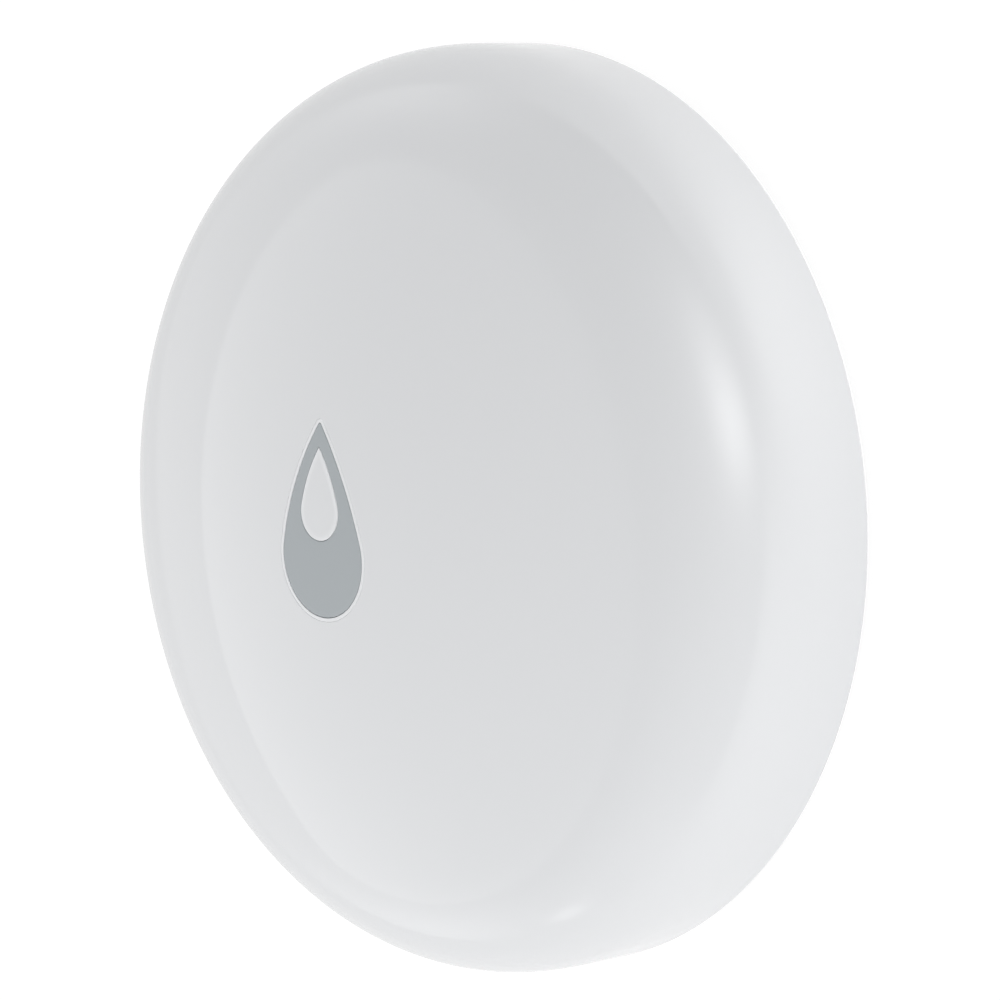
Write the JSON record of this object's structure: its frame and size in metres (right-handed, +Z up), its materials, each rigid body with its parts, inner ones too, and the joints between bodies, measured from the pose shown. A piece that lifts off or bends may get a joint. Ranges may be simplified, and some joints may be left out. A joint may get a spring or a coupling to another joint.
{
  "type": "water leak sensor",
  "caption": "Round domed water leak sensor with a drop-shaped key, floor probes and a twist-lock battery door.",
  "frame": {"origin": "on the floor under the middle of the round body", "axes": "+Z up, with the dome facing up as the sensor lies in use; +Y from the middle towards the tip of the drop-shaped key; +X to the right, through one of the two probes"},
  "size_m": [0.05, 0.05, 0.0155],
  "materials": {
    "cover_white": "glossy moulded white",
    "key_grey": "satin grey",
    "window_milky": "milky, lets light through",
    "silicone_pale": "pale translucent silicone",
    "inner_plastic": "plain moulded white",
    "base_white": "fine matt moulded white",
    "seal_dark": "black rubber",
    "cell_steel": "bright nickel-plated steel",
    "cell_gasket_plastic": "natural plastic",
    "contact_steel": "plated spring steel",
    "board_green": "green solder mask",
    "screw_steel": "zinc-plated steel",
    "probe_steel": "polished stainless steel",
    "insert_brass": "turned brass",
    "switch_black": "moulded black",
    "stem_plastic": "moulded dark",
    "led_clear": "clear resin",
    "chip_black": "moulded epoxy",
    "antenna_ceramic": "fired ceramic",
    "capacitor_ceramic": "fired ceramic"
  },
  "bodies": {
    "housing": {"top_cover": "cover_white", "key_membrane": "silicone_pale", "membrane_clamp": "inner_plastic", "base_housing": "base_white", "case_seal": "seal_dark", "coin_cell_can": "cell_steel", "coin_cell_gasket": "cell_gasket_plastic", "coin_cell_cap": "cell_steel", "negative_contact": "contact_steel", "positive_contact": "contact_steel", "circuit_board": "board_green", "board_screws": "screw_steel", "probe_screws": "probe_steel", "probe_seals": "seal_dark", "probe_inserts": "insert_brass", "probe_contacts": "contact_steel", "switch_body": "switch_black", "switch_plate": "contact_steel", "status_led": "led_clear", "radio_chip": "chip_black", "crystal": "cell_steel", "antenna": "antenna_ceramic", "resistors": "chip_black", "capacitors": "capacitor_ceramic"},
    "door": {"battery_door": "base_white", "door_seal": "seal_dark"},
    "key": {"drop_key": "key_grey", "light_window": "window_milky"},
    "stem": {"switch_stem": "stem_plastic"}
  },
  "joints": [
    {"name": "battery_door_twist", "type": "hinge", "parent": "housing", "child": "door", "pos_m": [0, 0, 0.0005], "axis": [0, 0, -1], "range_deg": [0, 35]},
    {"name": "drop_key_press", "type": "slide", "parent": "housing", "child": "key", "axis": [0, 0, -1], "range_m": [0, 0.00025], "stiffness_N_per_m": 1500, "deforming": ["key_membrane"]},
    {"name": "switch_stem_press", "type": "slide", "parent": "housing", "child": "stem", "axis": [0, 0, -1], "range_m": [0, 0.00025]}
  ],
  "couplings": [
    {"joint": "switch_stem_press", "follows": "drop_key_press", "ratio": 1}
  ]
}
